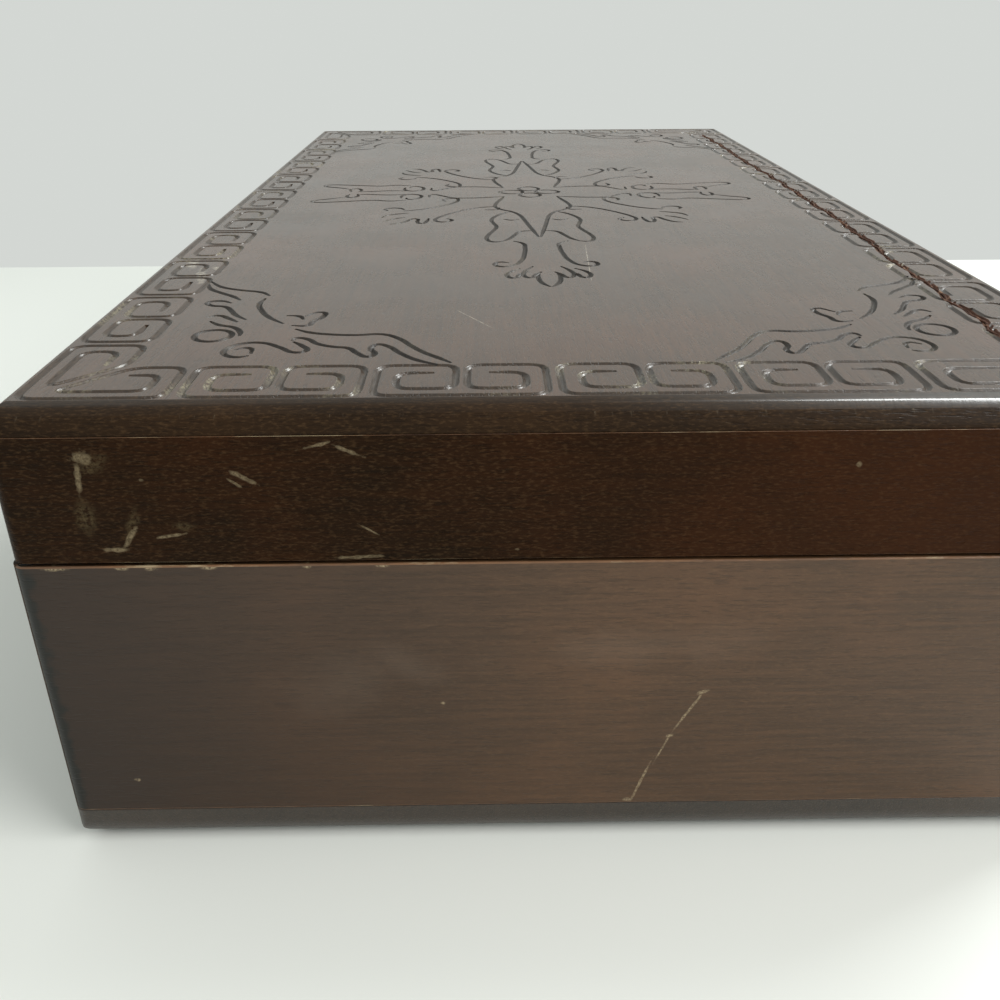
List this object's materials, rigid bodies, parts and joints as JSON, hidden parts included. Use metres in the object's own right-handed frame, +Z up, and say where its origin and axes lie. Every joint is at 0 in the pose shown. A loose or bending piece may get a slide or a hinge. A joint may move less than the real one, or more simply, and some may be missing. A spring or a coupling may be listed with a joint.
{
  "type": "rosary box",
  "caption": "Long low wooden keepsake box with mitred walls, a carved top board on a hinged lid, velvet lining, butt hinges and a small hook latch.",
  "frame": {"origin": "middle of the underside of the bottom board", "axes": "+X along the box to the end seen in the picture, +Y from the latch side to the hinge side, +Z up"},
  "size_m": [0.382, 0.2038, 0.092],
  "materials": {
    "base_wood": "dark stained, semi-gloss lacquer, rubbed",
    "bottom_wood": "dark stained, semi-gloss lacquer",
    "lid_wood": "dark red-brown stained, semi-gloss lacquer",
    "carved_wood": "dark stained, semi-gloss lacquer over V-cut carving",
    "velvet": "short-pile velvet, wine red",
    "brass": "aged, satin"
  },
  "bodies": {
    "base": {"bottom_board": "bottom_wood", "base_front_wall": "base_wood", "base_back_wall": "base_wood", "base_left_wall": "base_wood", "base_right_wall": "base_wood", "floor_pad": "velvet", "base_front_lining": "velvet", "base_back_lining": "velvet", "base_left_lining": "velvet", "base_right_lining": "velvet", "base_leaf_left": "brass", "base_leaf_right": "brass", "hinge_pin_left": "brass", "hinge_pin_right": "brass", "base_hinge_screws": "brass", "catch_plate": "brass", "catch_stud": "brass", "catch_plate_pins": "brass"},
    "lid": {"top_board": "carved_wood", "lid_front_rail": "lid_wood", "lid_back_rail": "lid_wood", "lid_left_rail": "lid_wood", "lid_right_rail": "lid_wood", "lid_pad": "velvet", "lid_front_lining": "velvet", "lid_back_lining": "velvet", "lid_left_lining": "velvet", "lid_right_lining": "velvet", "lid_leaf_left": "brass", "lid_leaf_right": "brass", "lid_hinge_screws": "brass", "latch_plate": "brass", "latch_rivet": "brass", "latch_plate_pins": "brass"},
    "hook": {"latch_hook": "brass"}
  },
  "joints": [
    {"name": "lid_hinge", "type": "hinge", "parent": "base", "child": "lid", "pos_m": [0, 0.0968, 0.0644], "axis": [-1, 0, 0], "range_deg": [0, 95]},
    {"name": "hook_pivot", "type": "hinge", "parent": "lid", "child": "hook", "pos_m": [0, -0.1012, 0.0754], "axis": [0, -1, 0], "range_deg": [-75, 60]}
  ]
}
